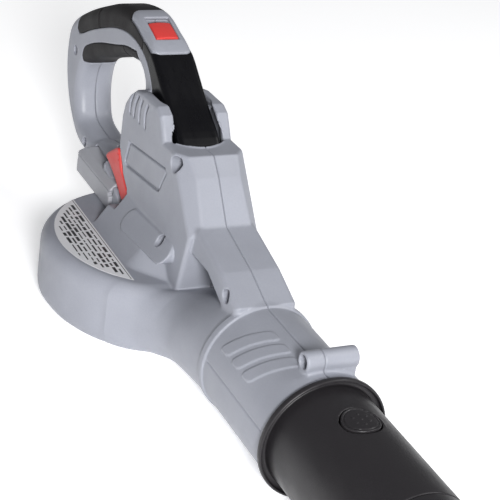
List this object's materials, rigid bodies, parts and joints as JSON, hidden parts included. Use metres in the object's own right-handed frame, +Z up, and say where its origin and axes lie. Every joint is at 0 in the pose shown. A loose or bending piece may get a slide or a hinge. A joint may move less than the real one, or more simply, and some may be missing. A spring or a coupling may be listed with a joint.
{
  "type": "leaf blower",
  "caption": "Hand-held battery leaf blower: flat scroll fan housing, upright motor block, closed loop handle and a two-piece round blower tube.",
  "frame": {"origin": "on the resting plane, straight below the fan shaft", "axes": "+X along the blower tube towards the nozzle, +Z up along the fan shaft, +Y to the tool's left"},
  "size_m": [0.895, 0.1636, 0.1995],
  "materials": {
    "housing_grey": "fine satin",
    "pack_grey": "fine satin",
    "cover_black": "matte",
    "panel_black": "gloss",
    "rubber_black": "matte",
    "label_pale": "satin",
    "red_plastic": "satin",
    "tube_charcoal": "fine matte",
    "steel": "satin",
    "motor_steel": "satin",
    "magnet_dark": "matte",
    "nylon_white": "matte",
    "impeller_black": "satin",
    "copper": "satin",
    "brass_contact": "satin",
    "board_green": "satin",
    "cell_wrap": "gloss",
    "wire_red": "satin",
    "wire_black": "satin"
  },
  "bodies": {
    "housing": {"housing_right": "housing_grey", "housing_left": "housing_grey", "fan_cover": "cover_black", "cover_screws": "steel", "housing_screws": "steel", "top_panel": "panel_black", "switch_bezel": "housing_grey", "grip_pad_top": "rubber_black", "grip_pad_under": "rubber_black", "rating_label": "label_pale", "motor_can": "motor_steel", "motor_magnets": "magnet_dark", "motor_end_cap": "nylon_white", "motor_brushes": "magnet_dark", "lower_bearing": "steel", "upper_bearing": "steel", "motor_mount": "cover_black", "motor_screws": "steel", "switch_body": "impeller_black", "circuit_board": "board_green", "board_parts": "impeller_black", "board_screws": "steel", "terminal_block": "impeller_black", "terminal_blades": "brass_contact", "lead_red": "wire_red", "lead_black": "wire_black", "motor_lead_red": "wire_red", "motor_lead_black": "wire_black", "switch_lead_red": "wire_red", "switch_lead_black": "wire_black", "latch_spring": "steel"},
    "rotor": {"motor_shaft": "steel", "armature": "motor_steel", "commutator": "copper", "windings": "copper", "impeller": "impeller_black", "fan_nut": "steel", "fan_washer": "steel"},
    "switch_slider": {"power_switch": "red_plastic", "switch_contact": "brass_contact"},
    "latch": {"battery_latch": "red_plastic", "latch_clip": "steel"},
    "battery_pack": {"battery_lower_case": "pack_grey", "battery_upper_case": "pack_grey", "battery_cells": "cell_wrap", "cell_strips": "brass_contact", "battery_contacts": "brass_contact", "battery_screws": "steel"},
    "rear_pipe": {"rear_tube": "tube_charcoal", "tube_seal": "rubber_black", "button_spring": "steel"},
    "front_pipe": {"front_tube": "tube_charcoal"},
    "release_button": {"tube_button": "tube_charcoal"}
  },
  "joints": [
    {"name": "fan_spin", "type": "hinge", "parent": "housing", "child": "rotor", "pos_m": [0, 0, 0.06], "axis": [0, 0, 1], "continuous": true},
    {"name": "switch_slide", "type": "slide", "parent": "housing", "child": "switch_slider", "axis": [0.9659, 0, -0.2588], "range_m": [-0.005, 0]},
    {"name": "latch_rock", "type": "hinge", "parent": "housing", "child": "latch", "pos_m": [-0.022, 0, 0.073], "axis": [0, 1, 0], "range_deg": [-8, 0], "stiffness_Nm_per_rad": 0.25, "springref_deg": 20.05},
    {"name": "battery_slide", "type": "slide", "parent": "housing", "child": "battery_pack", "axis": [0, -1, 0], "range_m": [0, 0.065]},
    {"name": "tube_slide", "type": "slide", "parent": "housing", "child": "rear_pipe", "axis": [1, 0, 0], "range_m": [0, 0.09]},
    {"name": "front_tube_slide", "type": "slide", "parent": "rear_pipe", "child": "front_pipe", "axis": [1, 0, 0], "range_m": [0, 0.045]},
    {"name": "button_press", "type": "slide", "parent": "rear_pipe", "child": "release_button", "axis": [0, 0, -1], "range_m": [0, 0.003], "stiffness_N_per_m": 400, "springref_m": -0.002, "deforming": ["button_spring"]}
  ]
}
